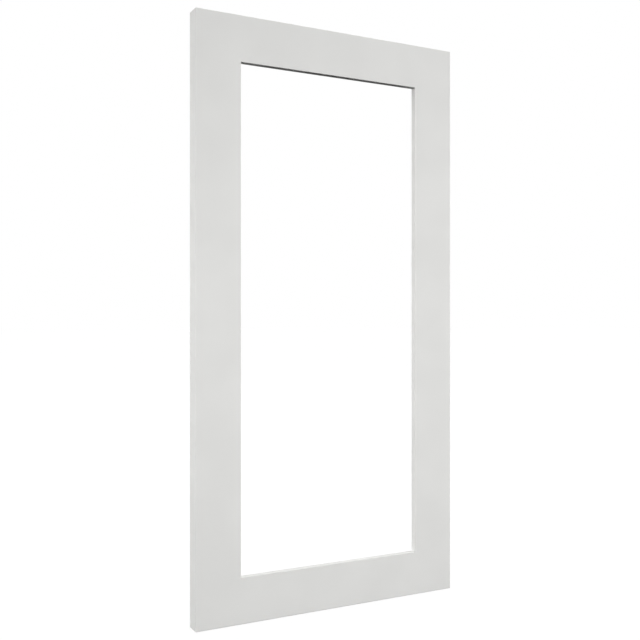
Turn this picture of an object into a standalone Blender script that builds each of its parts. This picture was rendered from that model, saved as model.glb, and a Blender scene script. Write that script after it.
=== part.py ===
# Kitchen cabinet door: a painted stile-and-rail frame with an open middle and a rebate for glass behind.
#
# Metres, +Z up. The door stands upright with its front facing -Y and the origin at its middle.
# Four planks are trimmed to one rounded outline block, so their faces run flush across the joints.
# Each corner is a butt joint held by two fluted beech dowels.

import math

import bmesh
import bpy
from mathutils import Matrix, Vector

# Outline of the finished door, for a cabinet 400 mm wide and 800 mm high
DOOR_WIDTH = 0.397
DOOR_HEIGHT = 0.797
DOOR_THICKNESS = 0.022

# The frame's members
STILE_WIDTH = 0.0625
RAIL_WIDTH = 0.0612

# Eased edges, rounded by sanding and paint: fully on the outside, hardly at the front of the opening
EDGE_RADIUS = 0.001
EDGE_SEGMENTS = 4
OPENING_EDGE_RADIUS = 0.0004
OPENING_EDGE_SEGMENTS = 2

# The rebate that the glass drops into from behind, cut by a router after the frame is glued
LIP_DEPTH = 0.009
REBATE_WIDTH = 0.010
REBATE_CORNER_RADIUS = 0.004
REBATE_CORNER_SEGMENTS = 6
REBATE_EDGE_RADIUS = 0.0006
REBATE_EDGE_SEGMENTS = 2

# Dowels, two in each corner, and the wood left beside them in the rail's end
DOWEL_DIAMETER = 0.008
DOWEL_LENGTH = 0.040
DOWEL_CHAMFER = 0.0010
DOWEL_FLUTES = 12
DOWEL_FLUTE_DEPTH = 0.0003
DOWEL_OUTER_WALL = 0.010
DOWEL_REBATE_WALL = 0.007
DOWEL_GLUE_ROOM = 0.0010

# Hinge borings in the back of the left stile, the common 35 mm cup with its two fixing holes
HINGE_END_DISTANCE = 0.100
CUP_DIAMETER = 0.035
CUP_DEPTH = 0.0125
CUP_EDGE_WALL = 0.005
FIXING_DIAMETER = 0.008
FIXING_DEPTH = 0.0115
FIXING_PAST_CUP = 0.005
FIXING_OFFSET = 0.0095

# Clearance between pieces that touch, where the real door has a line of glue
GLUE_GAP = 0.0003

# How far planks and cutters reach past the faces that they are cut at
OVERCUT = 0.005

POINTS_PER_FLUTE = 4
DOWEL_HOLE_SIDES = 32
CUP_SIDES = 64
FIXING_SIDES = 32

HALF_WIDTH = DOOR_WIDTH / 2
HALF_HEIGHT = DOOR_HEIGHT / 2
FRONT = -DOOR_THICKNESS / 2
BACK = DOOR_THICKNESS / 2
OPENING_HALF_WIDTH = HALF_WIDTH - STILE_WIDTH
OPENING_HALF_HEIGHT = HALF_HEIGHT - RAIL_WIDTH

PAINT = ("satin_paint", (0.71, 0.71, 0.69), 0.38)
BEECH = ("beech", (0.62, 0.42, 0.25), 0.60)


def clear_scene():
    for old in list(bpy.data.objects):
        bpy.data.objects.remove(old, do_unlink=True)
    for old in list(bpy.data.collections):
        bpy.data.collections.remove(old)


def make_collection(name):
    group = bpy.data.collections.new(name)
    bpy.context.scene.collection.children.link(group)
    return group


def make_material(name, finish):
    label, colour, roughness = finish
    material = bpy.data.materials.new(f"{label}_{name}")
    material.use_nodes = True
    shader = material.node_tree.nodes["Principled BSDF"]
    shader.inputs["Base Color"].default_value = (*colour, 1.0)
    shader.inputs["Roughness"].default_value = roughness
    shader.inputs["Metallic"].default_value = 0.0
    return material


def add_object(name, bm, group):
    mesh = bpy.data.meshes.new(name)
    bmesh.ops.recalc_face_normals(bm, faces=bm.faces)
    bm.to_mesh(mesh)
    bm.free()
    piece = bpy.data.objects.new(name, mesh)
    group.objects.link(piece)
    return piece


def box_mesh(low, high):
    """A box whose corners lie exactly at the given values, so shared planes match."""
    bm = bmesh.new()
    bmesh.ops.create_cube(bm)
    for vert in bm.verts:
        vert.co = [high[axis] if vert.co[axis] > 0 else low[axis] for axis in range(3)]
    return bm


def hide_cutter(cutter):
    cutter.hide_render = True
    cutter.display_type = "WIRE"
    return cutter


def boolean(piece, cutter, operation="DIFFERENCE"):
    modifier = piece.modifiers.new(f"{operation.lower()} {cutter.name}", "BOOLEAN")
    modifier.operation = operation
    modifier.object = cutter
    modifier.solver = "EXACT"


def outline_block(group):
    """The whole door as one block with every outer edge rounded."""
    bm = box_mesh((-HALF_WIDTH, FRONT, -HALF_HEIGHT), (HALF_WIDTH, BACK, HALF_HEIGHT))
    block = hide_cutter(add_object("outline_block", bm, group))
    rounding = block.modifiers.new("rounded edges", "BEVEL")
    rounding.width = EDGE_RADIUS
    rounding.segments = EDGE_SEGMENTS
    rounding.limit_method = "ANGLE"
    return block


def draw_out(bm, cap, axis, position, scale):
    """Extrude a cap to a position along an axis and scale it there. Returns the new cap."""
    grown = bmesh.ops.extrude_face_region(bm, geom=[cap])["geom"]
    bmesh.ops.delete(bm, geom=[cap], context="FACES_ONLY")
    verts = [item for item in grown if isinstance(item, bmesh.types.BMVert)]
    bmesh.ops.scale(bm, vec=scale, verts=verts)
    for vert in verts:
        vert.co[axis] = position
    return next(item for item in grown if isinstance(item, bmesh.types.BMFace))


def rounded_edge(radius, segments):
    """How far out and how deep each step of a rounded edge lies, from its wall up to its face."""
    angles = [step / segments * math.pi / 2 for step in range(segments + 1)]
    return [(radius * (1 - math.cos(angle)), radius * (1 - math.sin(angle))) for angle in angles]


def window_cutter(name, half_size, face_y, floor_y, rounding, group, corner_radius=0.0):
    """A window through the face at face_y, down to floor_y, that flares by the steps of rounding."""
    out = math.copysign(1.0, face_y)
    (offset, depth), *steps = rounding
    half_width, half_height = half_size
    mouth_y = face_y - out * depth
    bm = box_mesh(
        (-half_width - offset, min(floor_y, mouth_y), -half_height - offset),
        (half_width + offset, max(floor_y, mouth_y), half_height + offset),
    )
    if corner_radius:
        corners = [edge for edge in bm.edges if edge.verts[0].co.y != edge.verts[1].co.y]
        bmesh.ops.bevel(
            bm,
            geom=corners,
            offset=corner_radius,
            segments=REBATE_CORNER_SEGMENTS,
            profile=0.5,
            affect="EDGES",
        )
    cap = max(bm.faces, key=lambda face: out * face.calc_center_median().y)
    for next_offset, depth in (*steps, (steps[-1][0], -OVERCUT)):
        scale = (
            (half_width + next_offset) / (half_width + offset),
            1.0,
            (half_height + next_offset) / (half_height + offset),
        )
        cap = draw_out(bm, cap, 1, face_y - out * depth, scale)
        offset = next_offset
    return hide_cutter(add_object(name, bm, group))


def round_cutter(name, diameter, sides, start, end, group):
    """A straight drill from start to end."""
    axis = Vector(end) - Vector(start)
    turn = axis.to_track_quat("Z", "Y").to_matrix().to_4x4()
    place = Matrix.Translation((Vector(start) + Vector(end)) / 2) @ turn
    bm = bmesh.new()
    bmesh.ops.create_cone(
        bm,
        cap_ends=True,
        segments=sides,
        radius1=diameter / 2,
        radius2=diameter / 2,
        depth=axis.length,
        matrix=place,
    )
    return hide_cutter(add_object(name, bm, group))


def dowel_places():
    """Name, middle and side of each dowel: the middle lies in its joint, side is where its stile is."""
    joint_x = OPENING_HALF_WIDTH - GLUE_GAP / 2
    outer_inset = DOWEL_OUTER_WALL + DOWEL_DIAMETER / 2
    inner_inset = RAIL_WIDTH - REBATE_WIDTH - DOWEL_REBATE_WALL - DOWEL_DIAMETER / 2
    for end, up in (("top", 1), ("bottom", -1)):
        for hand, side in (("left", -1), ("right", 1)):
            for place, inset in (("outer", outer_inset), ("inner", inner_inset)):
                middle = Vector((side * joint_x, 0.0, up * (HALF_HEIGHT - inset)))
                yield f"dowel_{end}_{hand}_{place}", middle, side


def dowel_hole_cutter(name, middle, group):
    """One drill for both halves of a dowel's hole, through the joint."""
    reach = Vector((DOWEL_LENGTH / 2 + DOWEL_GLUE_ROOM, 0, 0))
    diameter = DOWEL_DIAMETER + 2 * GLUE_GAP
    return round_cutter(f"hole_for_{name}", diameter, DOWEL_HOLE_SIDES, middle - reach, middle + reach, group)


def make_dowel(name, middle, group):
    """A fluted dowel: a cylinder with grooves along it and chamfered ends."""
    radius = DOWEL_DIAMETER / 2
    straight = DOWEL_LENGTH / 2 - DOWEL_CHAMFER
    bm = bmesh.new()
    bmesh.ops.create_cone(
        bm,
        cap_ends=True,
        segments=DOWEL_FLUTES * POINTS_PER_FLUTE,
        radius1=radius,
        radius2=radius,
        depth=2 * straight,
    )
    flute_turn = 2 * math.pi / DOWEL_FLUTES
    groove = (radius - DOWEL_FLUTE_DEPTH) / radius
    for vert in bm.verts:
        turns = math.atan2(vert.co.y, vert.co.x) / flute_turn
        if abs(turns - round(turns)) < 0.5 / POINTS_PER_FLUTE:
            vert.co.xy *= groove
    narrow = (radius - DOWEL_CHAMFER) / radius
    for end in (-1, 1):
        cap = max(bm.faces, key=lambda face: end * face.calc_center_median().z)
        draw_out(bm, cap, 2, end * DOWEL_LENGTH / 2, (narrow, narrow, 1.0))
    dowel = add_object(name, bm, group)
    dowel.data.shade_smooth()
    dowel.data.set_sharp_from_angle(angle=math.radians(30))
    dowel.rotation_euler = (0.0, math.pi / 2, 0.0)
    dowel.location = middle
    dowel.data.materials.append(make_material(name, BEECH))
    return dowel


def hinge_cutters(group):
    """The cup and the two fixing holes of each hinge, bored from behind."""
    cup_x = -HALF_WIDTH + CUP_EDGE_WALL + CUP_DIAMETER / 2
    for name, up in (("upper", 1), ("lower", -1)):
        cup_z = up * (HALF_HEIGHT - HINGE_END_DISTANCE)
        cup_floor = Vector((cup_x, BACK - CUP_DEPTH, cup_z))
        cup_mouth = Vector((cup_x, BACK + OVERCUT, cup_z))
        yield round_cutter(f"{name}_hinge_cup", CUP_DIAMETER, CUP_SIDES, cup_floor, cup_mouth, group)
        for place, side in (("high", 1), ("low", -1)):
            hole_z = cup_z + side * (CUP_DIAMETER / 2 + FIXING_PAST_CUP)
            hole_x = cup_x + FIXING_OFFSET
            floor = Vector((hole_x, BACK - FIXING_DEPTH, hole_z))
            mouth = Vector((hole_x, BACK + OVERCUT, hole_z))
            yield round_cutter(
                f"{name}_hinge_fixing_{place}", FIXING_DIAMETER, FIXING_SIDES, floor, mouth, group
            )


def make_member(name, low, high, cutters, group):
    """A plank trimmed to the outline block, then cut by the cutters that reach it."""
    member = add_object(name, box_mesh(low, high), group)
    boolean(member, cutters["outline"], "INTERSECT")
    boolean(member, cutters["opening"])
    boolean(member, cutters["rebate"])
    member.data.materials.append(make_material(name, PAINT))
    return member


def make_members(cutters, group):
    outer_x = HALF_WIDTH + OVERCUT
    outer_z = HALF_HEIGHT + OVERCUT
    depth = DOOR_THICKNESS / 2 + OVERCUT
    shoulder = OPENING_HALF_WIDTH - GLUE_GAP
    members = {}
    for name, side in (("left_stile", -1), ("right_stile", 1)):
        reach = sorted((side * OPENING_HALF_WIDTH, side * outer_x))
        low, high = (reach[0], -depth, -outer_z), (reach[1], depth, outer_z)
        members[name] = make_member(name, low, high, cutters, group)
    for name, up in (("top_rail", 1), ("bottom_rail", -1)):
        reach = sorted((up * OPENING_HALF_HEIGHT, up * outer_z))
        low, high = (-shoulder, -depth, reach[0]), (shoulder, depth, reach[1])
        members[name] = make_member(name, low, high, cutters, group)
    return members


def opening_cutter(group):
    """Rounds the front edge of the opening, whose walls are the planks' own faces.

    The first step of the rounding runs on past its wall, so the cutter crosses the walls and lies on none.
    """
    rounding = rounded_edge(OPENING_EDGE_RADIUS, OPENING_EDGE_SEGMENTS)
    (_, wall_depth), (offset, depth) = rounding[:2]
    rounding[0] = (-offset, 2 * wall_depth - depth)
    half_size = (OPENING_HALF_WIDTH, OPENING_HALF_HEIGHT)
    floor_y = FRONT + 2 * OPENING_EDGE_RADIUS
    return window_cutter("opening_cutter", half_size, FRONT, floor_y, rounding, group)


def rebate_cutter(group):
    """The pocket for the glass, with the corners that a router leaves."""
    half_size = (OPENING_HALF_WIDTH + REBATE_WIDTH, OPENING_HALF_HEIGHT + REBATE_WIDTH)
    rounding = rounded_edge(REBATE_EDGE_RADIUS, REBATE_EDGE_SEGMENTS)
    floor_y = FRONT + LIP_DEPTH
    return window_cutter("rebate_cutter", half_size, BACK, floor_y, rounding, group, REBATE_CORNER_RADIUS)


def main():
    clear_scene()
    door = make_collection("kitchen_cabinet_door")
    cutting = make_collection("cutters")
    cutters = {
        "outline": outline_block(cutting),
        "opening": opening_cutter(cutting),
        "rebate": rebate_cutter(cutting),
    }
    members = make_members(cutters, door)
    for name, middle, side in dowel_places():
        hole = dowel_hole_cutter(name, middle, cutting)
        boolean(members["left_stile" if side < 0 else "right_stile"], hole)
        boolean(members["top_rail" if middle.z > 0 else "bottom_rail"], hole)
        make_dowel(name, middle, door)
    for cutter in hinge_cutters(cutting):
        boolean(members["left_stile"], cutter)


main()
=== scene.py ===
# Painted kitchen cabinet door: an open stile-and-rail frame, ready for glass
import math

import bmesh
import bpy
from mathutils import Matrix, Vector


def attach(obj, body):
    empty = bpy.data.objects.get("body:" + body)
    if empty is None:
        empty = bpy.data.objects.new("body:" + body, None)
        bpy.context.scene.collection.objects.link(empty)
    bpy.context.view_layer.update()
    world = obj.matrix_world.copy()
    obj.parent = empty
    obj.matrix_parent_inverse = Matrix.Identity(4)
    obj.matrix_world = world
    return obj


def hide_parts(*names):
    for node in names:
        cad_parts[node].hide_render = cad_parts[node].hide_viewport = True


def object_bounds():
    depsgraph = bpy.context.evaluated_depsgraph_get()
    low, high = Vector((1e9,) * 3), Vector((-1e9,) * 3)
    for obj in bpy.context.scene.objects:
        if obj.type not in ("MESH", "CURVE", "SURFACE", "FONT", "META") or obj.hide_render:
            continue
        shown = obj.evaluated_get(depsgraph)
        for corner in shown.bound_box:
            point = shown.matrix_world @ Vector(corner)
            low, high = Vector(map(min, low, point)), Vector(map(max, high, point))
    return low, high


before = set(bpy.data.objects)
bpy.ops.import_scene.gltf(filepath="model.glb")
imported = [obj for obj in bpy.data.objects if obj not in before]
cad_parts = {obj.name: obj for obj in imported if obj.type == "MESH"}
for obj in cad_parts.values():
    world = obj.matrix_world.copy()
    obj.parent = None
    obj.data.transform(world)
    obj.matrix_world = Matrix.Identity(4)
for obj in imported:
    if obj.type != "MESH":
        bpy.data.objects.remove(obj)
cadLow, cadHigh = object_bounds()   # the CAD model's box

scene = bpy.context.scene


def hexColour(text):
    # sRGB hex to the linear values that Blender mixes
    parts = [int(text[i:i + 2], 16) / 255 for i in (1, 3, 5)]
    return [p / 12.92 if p <= 0.04045 else ((p + 0.055) / 1.055) ** 2.4 for p in parts] + [1.0]


def addNode(tree, kind, inputs=None, **settings):
    # one node with its settings; an input is a value, or another node's output, which is linked
    node = tree.nodes.new(kind)
    for name, value in settings.items():
        setattr(node, name, value)
    for name, value in (inputs or {}).items():
        if isinstance(value, bpy.types.NodeSocket):
            tree.links.new(value, node.inputs[name])
        else:
            node.inputs[name].default_value = value
    return node


def newMaterial(name):
    material = bpy.data.materials.new(name)
    material.use_nodes = True
    material.node_tree.nodes.clear()
    return material, material.node_tree


def setRamp(node, stops):
    ramp = node.color_ramp
    while len(ramp.elements) < len(stops):
        ramp.elements.new(0.5)
    for element, (place, colour) in zip(ramp.elements, stops):
        element.position = place
        element.color = colour


print("materials")

# Dull satin lacquer sprayed on primed fibreboard and left to flow out: an even off-white whose faint
# sheen shows at a grazing look only, broken close up by a shallow orange peel and uneven gloss
lacquer = {
    "colour": "#E0E0DE",
    "thinColour": "#DDDDDB",    # where the coat lies a little thinner
    "roughness": 0.78,
    "roughnessSpread": 0.06,    # from the dullest cloud to the glossiest
    "ior": 1.5,
    "specular": 0.12,           # the matting agent takes most of the reflection away
    "peelSize": 2.5,            # mm between crests of the orange peel
    "peelHeight": 0.010,        # mm
    "cloudSize": 70.0,          # mm between thick and thin places of the coat
}


def lacquerMaterial():
    material, tree = newMaterial("satinLacquerSprayed")
    place = addNode(tree, "ShaderNodeTexCoord").outputs["Object"]
    clouds = addNode(tree, "ShaderNodeTexNoise", {
        "Vector": place, "Scale": 1000 / lacquer["cloudSize"], "Detail": 2.0, "Roughness": 0.4})
    tint = addNode(tree, "ShaderNodeValToRGB", {"Fac": clouds.outputs["Fac"]})
    setRamp(tint, [(0.35, hexColour(lacquer["thinColour"])), (0.65, hexColour(lacquer["colour"]))])
    gloss = addNode(tree, "ShaderNodeMapRange", {
        "Value": clouds.outputs["Fac"], "From Min": 0.3, "From Max": 0.7,
        "To Min": lacquer["roughness"] + lacquer["roughnessSpread"] / 2,
        "To Max": lacquer["roughness"] - lacquer["roughnessSpread"] / 2})
    peel = addNode(tree, "ShaderNodeTexNoise", {
        "Vector": place, "Scale": 1000 / lacquer["peelSize"], "Detail": 1.0, "Roughness": 0.3})
    bump = addNode(tree, "ShaderNodeBump", {
        "Height": peel.outputs["Fac"], "Strength": 1.0, "Distance": lacquer["peelHeight"] / 1000})
    shader = addNode(tree, "ShaderNodeBsdfPrincipled", {
        "Base Color": tint.outputs["Color"], "Roughness": gloss.outputs["Result"],
        "IOR": lacquer["ior"], "Specular IOR Level": lacquer["specular"],
        "Normal": bump.outputs["Normal"]})
    addNode(tree, "ShaderNodeOutputMaterial", {"Surface": shader.outputs["BSDF"]})
    return material


# Medium-density fibreboard as the boring bit leaves it: felted brown fibre, quite matt, with fine
# rings turned by the bit and a dimple from its centre point
fibreboard = {
    "colour": "#A98A66",
    "darkColour": "#86694A",
    "paleColour": "#C2A684",
    "roughness": 0.88,
    "fibreSize": 0.9,           # mm
    "ringSpacing": 1.2,         # mm
    "ringShare": 0.25,          # the rings' height in parts of the fibre's
    "dimpleSize": 2.0,          # mm from the middle of a bore's floor
    "dimpleShare": 6.0,         # its depth in parts of the fibre's height
    "height": 0.06,             # mm from the lowest fibre to the highest
}


def fibreboardMaterial():
    material, tree = newMaterial("fibreboardBored")
    place = addNode(tree, "ShaderNodeTexCoord").outputs["Object"]
    bore = addNode(tree, "ShaderNodeUVMap", uv_map="boreMillimetres").outputs["UV"]
    radius = addNode(tree, "ShaderNodeVectorMath", {0: bore}, operation="LENGTH").outputs["Value"]
    fibre = addNode(tree, "ShaderNodeTexNoise", {
        "Vector": place, "Scale": 1000 / fibreboard["fibreSize"], "Detail": 4.0, "Roughness": 0.6})
    colour = addNode(tree, "ShaderNodeValToRGB", {"Fac": fibre.outputs["Fac"]})
    setRamp(colour, [(0.3, hexColour(fibreboard["darkColour"])),
                     (0.5, hexColour(fibreboard["colour"])),
                     (0.72, hexColour(fibreboard["paleColour"]))])
    turns = addNode(tree, "ShaderNodeMath", {0: radius, 1: 2 * math.pi / fibreboard["ringSpacing"]},
                    operation="MULTIPLY")
    ring = addNode(tree, "ShaderNodeMath", {0: turns.outputs[0]}, operation="SINE")
    felt = addNode(tree, "ShaderNodeMath", {
        0: ring.outputs[0], 1: fibreboard["ringShare"], 2: fibre.outputs["Fac"]},
        operation="MULTIPLY_ADD")
    dimple = addNode(tree, "ShaderNodeMapRange", {
        "Value": radius, "From Min": 0.0, "From Max": fibreboard["dimpleSize"],
        "To Min": -fibreboard["dimpleShare"], "To Max": 0.0})
    height = addNode(tree, "ShaderNodeMath", {0: felt.outputs[0], 1: dimple.outputs["Result"]},
                     operation="ADD")
    bump = addNode(tree, "ShaderNodeBump", {
        "Height": height.outputs[0], "Strength": 1.0, "Distance": fibreboard["height"] / 1000})
    shader = addNode(tree, "ShaderNodeBsdfPrincipled", {
        "Base Color": colour.outputs["Color"], "Roughness": fibreboard["roughness"],
        "Normal": bump.outputs["Normal"]})
    addNode(tree, "ShaderNodeOutputMaterial", {"Surface": shader.outputs["BSDF"]})
    return material


# Beech turned to a rod and pressed through a fluting die: pinkish tan, with short dark flecks along
# the grain and a faintly burnished skin
beech = {
    "colour": "#D2A981",
    "darkColour": "#BC8E66",
    "fleckColour": "#99693F",
    "roughness": 0.55,
    "grainSpacing": 0.8,        # mm across the grain
    "grainLength": 14.0,        # mm along it
    "grainHeight": 0.03,        # mm
    "fleckWidth": 0.35,         # mm
    "fleckLength": 2.5,         # mm
}


def alongRod(tree, place, length, width):
    # a dowel's own place, counted in patterns of that length along the rod and width across it
    scale = (1000 / length, 1000 / width, 1000 / width)
    return addNode(tree, "ShaderNodeMapping", {"Vector": place, "Scale": scale}).outputs["Vector"]


def beechMaterial():
    material, tree = newMaterial("beechTurned")
    place = addNode(tree, "ShaderNodeTexCoord").outputs["Object"]
    grain = addNode(tree, "ShaderNodeTexNoise", {
        "Vector": alongRod(tree, place, beech["grainLength"], beech["grainSpacing"]),
        "Scale": 1.0, "Detail": 3.0, "Roughness": 0.5})
    base = addNode(tree, "ShaderNodeValToRGB", {"Fac": grain.outputs["Fac"]})
    setRamp(base, [(0.35, hexColour(beech["darkColour"])), (0.6, hexColour(beech["colour"]))])
    fleck = addNode(tree, "ShaderNodeTexNoise", {
        "Vector": alongRod(tree, place, beech["fleckLength"], beech["fleckWidth"]),
        "Scale": 1.0, "Detail": 1.0})
    fleckMask = addNode(tree, "ShaderNodeMapRange", {
        "Value": fleck.outputs["Fac"], "From Min": 0.62, "From Max": 0.68})
    colour = addNode(tree, "ShaderNodeMixRGB", {
        "Fac": fleckMask.outputs["Result"], "Color1": base.outputs["Color"],
        "Color2": hexColour(beech["fleckColour"])})
    bump = addNode(tree, "ShaderNodeBump", {
        "Height": grain.outputs["Fac"], "Strength": 1.0, "Distance": beech["grainHeight"] / 1000})
    shader = addNode(tree, "ShaderNodeBsdfPrincipled", {
        "Base Color": colour.outputs["Color"], "Roughness": beech["roughness"],
        "Normal": bump.outputs["Normal"]})
    addNode(tree, "ShaderNodeOutputMaterial", {"Surface": shader.outputs["BSDF"]})
    return material


paint = lacquerMaterial()
bareBoard = fibreboardMaterial()
dowelWood = beechMaterial()

print("frame members")

# The four members, lacquered as one frame after gluing, so the film runs across the glue lines
members = {
    "nodes": ["left_stile", "right_stile", "top_rail", "bottom_rail"],
    "borings": "left_stile",    # the member with the hinge borings
    "glueLine": 0.0003,         # metres that the solids leave at each rail end
    "sharpAngle": 30.0,         # degrees; anything flatter than this is a rounded edge
    "cup": {"radius": 0.0175, "x": -0.1760, "z": 0.2985},           # metres, as all below
    "fixing": {"radius": 0.0040, "x": -0.1665, "out": 0.0225},      # out from the cup's middle
    "boreReach": -0.005,        # no boring goes deeper towards the front than this y
    "slack": 0.00002,           # how far a point may lie off a flat face
    "boreSlack": 0.00005,       # and off a bore's round wall
    "double": 0.000002,         # points closer than this are one
}


def boreOf(point):
    # the axis of the hinge boring that a point of the left stile lies in, with its radius, or None
    cup, fixing = members["cup"], members["fixing"]
    for middle in (cup["z"], -cup["z"]):
        axes = [(cup["x"], middle, cup["radius"]),
                (fixing["x"], middle + fixing["out"], fixing["radius"]),
                (fixing["x"], middle - fixing["out"], fixing["radius"])]
        for x, z, radius in axes:
            if math.hypot(point.x - x, point.z - z) < radius + members["boreSlack"]:
                return x, z, radius
    return None


def closeGlueLine(work):
    # the film bridges the glue line, so a rail's two ends reach out to the stiles
    endX = max(abs(v.co.x) for v in work.verts)
    for v in work.verts:
        if abs(v.co.x) > endX - members["slack"]:
            v.co.x += math.copysign(members["glueLine"], v.co.x)


def bareBores(work, uv):
    # bare board in the borings, with millimetres from the bore's axis for its rings
    back = cadHigh.y
    for face in work.faces:
        axes = {boreOf(v.co) for v in face.verts}
        if None in axes or len(axes) > 1:
            continue
        depths = [v.co.y for v in face.verts]
        if min(depths) > back - members["slack"] or max(depths) < members["boreReach"]:
            continue
        x, z, radius = axes.pop()
        face.material_index = 1
        isFloor = abs(face.normal.y) > 0.9
        for loop in face.loops:
            p = loop.vert.co
            if isFloor:
                loop[uv].uv = ((p.x - x) * 1000, (p.z - z) * 1000)
            else:
                loop[uv].uv = ((radius + back - p.y) * 1000, 0.0)


def makeMember(name):
    work = bmesh.new()
    work.from_mesh(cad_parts[name].data)
    bmesh.ops.remove_doubles(work, verts=work.verts, dist=members["double"])
    if name.endswith("rail"):
        closeGlueLine(work)
    work.normal_update()
    uv = work.loops.layers.uv.new("boreMillimetres")
    for face in work.faces:
        face.smooth = True
        face.material_index = 0
    if name == members["borings"]:
        bareBores(work, uv)
    limit = math.radians(members["sharpAngle"])
    for edge in work.edges:
        edge.smooth = len(edge.link_faces) == 2 and edge.calc_face_angle(0.0) < limit
    pieceName = "lacquered" + name.title().replace("_", "")
    mesh = bpy.data.meshes.new(pieceName)
    work.to_mesh(mesh)
    work.free()
    piece = bpy.data.objects.new(pieceName, mesh)
    scene.collection.objects.link(piece)
    mesh.materials.append(paint)
    mesh.materials.append(bareBoard)
    # flat faces stay flat beside the rounded edges
    keepFlat = piece.modifiers.new("keepFlat", "WEIGHTED_NORMAL")
    keepFlat.keep_sharp = True
    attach(piece, "root")
    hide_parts(name)
    return piece


for name in members["nodes"]:
    makeMember(name)

print("dowels")

for name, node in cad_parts.items():
    if name.startswith("dowel"):
        node.data.materials.clear()
        node.data.materials.append(dowelWood)

print("camera")

# Level with the door's middle, in front of its left part and turned to the right
camera = {
    "place": (-0.5650, -1.0600, 0.0),   # metres
    "turn": 27.47,              # degrees
    "focal": 863.4,             # in pixels
    "horizon": 319.86,          # the pixel row level with the lens
    "frame": 640,               # pixels along each side of the picture
    "sensor": 36.0,             # millimetres
}
lens = bpy.data.cameras.new("lens")
lens.sensor_width = camera["sensor"]
lens.lens = camera["focal"] / camera["frame"] * camera["sensor"]
lens.shift_y = camera["horizon"] / camera["frame"] - 0.5
viewer = bpy.data.objects.new("camera", lens)
viewer.location = camera["place"]
viewer.rotation_euler = (math.pi / 2, 0.0, -math.radians(camera["turn"]))
scene.collection.objects.link(viewer)
scene.camera = viewer

print("floor")

# Plain pale floor under the door; the eye sees it white with the door's soft shadow, and it gives
# little light back, so the undersides stay dark
floor = {
    "bounceColour": "#2A2A2A",  # what soft light from below is coloured by
    "shadowShare": 0.12,        # how much of the white is lit colour, the rest being plain white
    "openLight": 0.9,           # how bright a plain white floor is in the open
    "size": 60.0,               # metres
}


def eyeRay(tree):
    # 1 for what the eye, a gloss or a glass sees, 0 for soft light
    path = addNode(tree, "ShaderNodeLightPath").outputs
    seen = addNode(tree, "ShaderNodeMath", {0: path["Is Camera Ray"], 1: path["Is Glossy Ray"]},
                   operation="MAXIMUM").outputs[0]
    return addNode(tree, "ShaderNodeMath", {0: seen, 1: path["Is Transmission Ray"]},
                   operation="MAXIMUM").outputs[0]


def makeFloor():
    material, tree = newMaterial("floorMatt")
    dim = addNode(tree, "ShaderNodeBsdfDiffuse", {"Color": hexColour(floor["bounceColour"])})
    lit = addNode(tree, "ShaderNodeBsdfDiffuse", {"Color": [floor["shadowShare"]] * 3 + [1.0]})
    white = addNode(tree, "ShaderNodeEmission", {
        "Color": hexColour("#FFFFFF"), "Strength": 1.0 - floor["shadowShare"] * floor["openLight"]})
    seen = addNode(tree, "ShaderNodeAddShader", {0: lit.outputs[0], 1: white.outputs[0]})
    pick = addNode(tree, "ShaderNodeMixShader", {
        0: eyeRay(tree), 1: dim.outputs[0], 2: seen.outputs[0]})
    addNode(tree, "ShaderNodeOutputMaterial", {"Surface": pick.outputs[0]})
    work = bmesh.new()
    bmesh.ops.create_grid(work, x_segments=1, y_segments=1, size=floor["size"] / 2)
    bmesh.ops.translate(work, verts=work.verts, vec=(0.0, 0.0, cadLow.z))
    mesh = bpy.data.meshes.new("floor")
    work.to_mesh(mesh)
    work.free()
    mesh.materials.append(material)
    piece = bpy.data.objects.new("floor", mesh)
    scene.collection.objects.link(piece)


makeFloor()

print("light")

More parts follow.
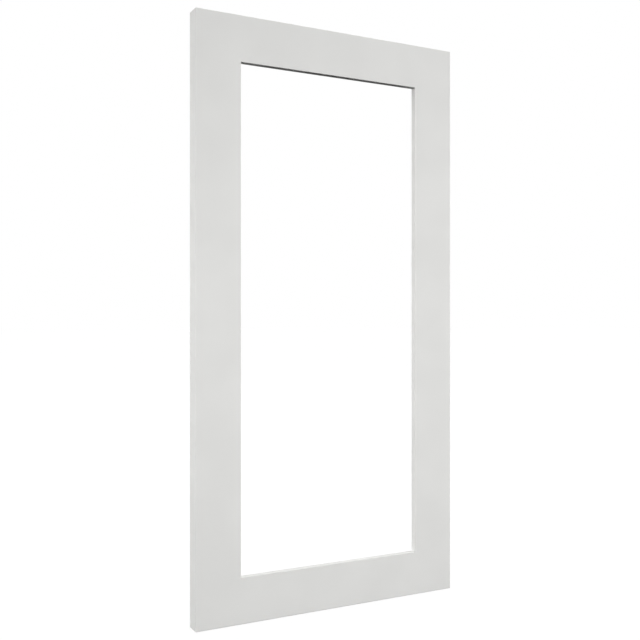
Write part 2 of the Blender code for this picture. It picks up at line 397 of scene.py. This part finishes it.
# A plain room light, stronger near the horizon than overhead. A softbox behind a grid, in front to
# the left and level with the door, gives light that fades towards the door's ends. A wide softbox
# stands to each side, and one above and behind
light = {
    "skyLow": 1.57,             # strength just above the horizon
    "skyHigh": 0.60,            # and overhead
    "distance": 4.0,            # metres from the door's middle to each softbox
    "boxes": {                  # turn from the front, height and spread in degrees, the rest in metres
        "gridLeft": {"turn": -56, "height": 0, "spread": 23, "side": 0.8,
                     "aim": (0.14, 0.0, -0.05), "watts": 1.35},
        "wideLeft": {"turn": -90, "height": 12, "spread": 180, "side": 1.6,
                     "aim": (0.0, 0.0, 0.0), "watts": 9.0},
        "wideRight": {"turn": 60, "height": 12, "spread": 180, "side": 1.6,
                      "aim": (0.0, 0.0, 0.0), "watts": 56.0},
        "wideBack": {"turn": 180, "height": 35, "spread": 180, "side": 1.6,
                     "aim": (0.0, 0.0, 0.0), "watts": 28.0},
    },
}


def makeWorld():
    world = bpy.data.worlds.new("room")
    scene.world = world
    world.use_nodes = True
    tree = world.node_tree
    tree.nodes.clear()
    direction = addNode(tree, "ShaderNodeTexCoord").outputs["Generated"]
    height = addNode(tree, "ShaderNodeSeparateXYZ", {0: direction}).outputs["Z"]
    # the floor hides what lies below the horizon
    strength = addNode(tree, "ShaderNodeMapRange", {
        "Value": height, "From Min": 0.0, "From Max": 1.0,
        "To Min": light["skyLow"], "To Max": light["skyHigh"]}).outputs["Result"]
    sky = addNode(tree, "ShaderNodeBackground", {"Color": hexColour("#FFFFFF"), "Strength": strength})
    white = addNode(tree, "ShaderNodeBackground", {"Color": hexColour("#FFFFFF"), "Strength": 1.0})
    pick = addNode(tree, "ShaderNodeMixShader", {
        0: eyeRay(tree), 1: sky.outputs[0], 2: white.outputs[0]})
    addNode(tree, "ShaderNodeOutputWorld", {"Surface": pick.outputs[0]})


def makeSoftbox(name, box):
    lamp = bpy.data.lights.new(name, "AREA")
    lamp.shape = "SQUARE"
    lamp.size = box["side"]
    lamp.energy = box["watts"]
    lamp.spread = math.radians(box["spread"])
    piece = bpy.data.objects.new(name, lamp)
    turn, height = math.radians(box["turn"]), math.radians(box["height"])
    level = light["distance"] * math.cos(height)
    piece.location = (level * math.sin(turn), -level * math.cos(turn),
                      light["distance"] * math.sin(height))
    aim = Vector(box["aim"]) - piece.location
    piece.rotation_euler = aim.to_track_quat("-Z", "Y").to_euler()
    scene.collection.objects.link(piece)


makeWorld()
for name, box in light["boxes"].items():
    makeSoftbox(name, box)

scene.view_settings.view_transform = "Standard"
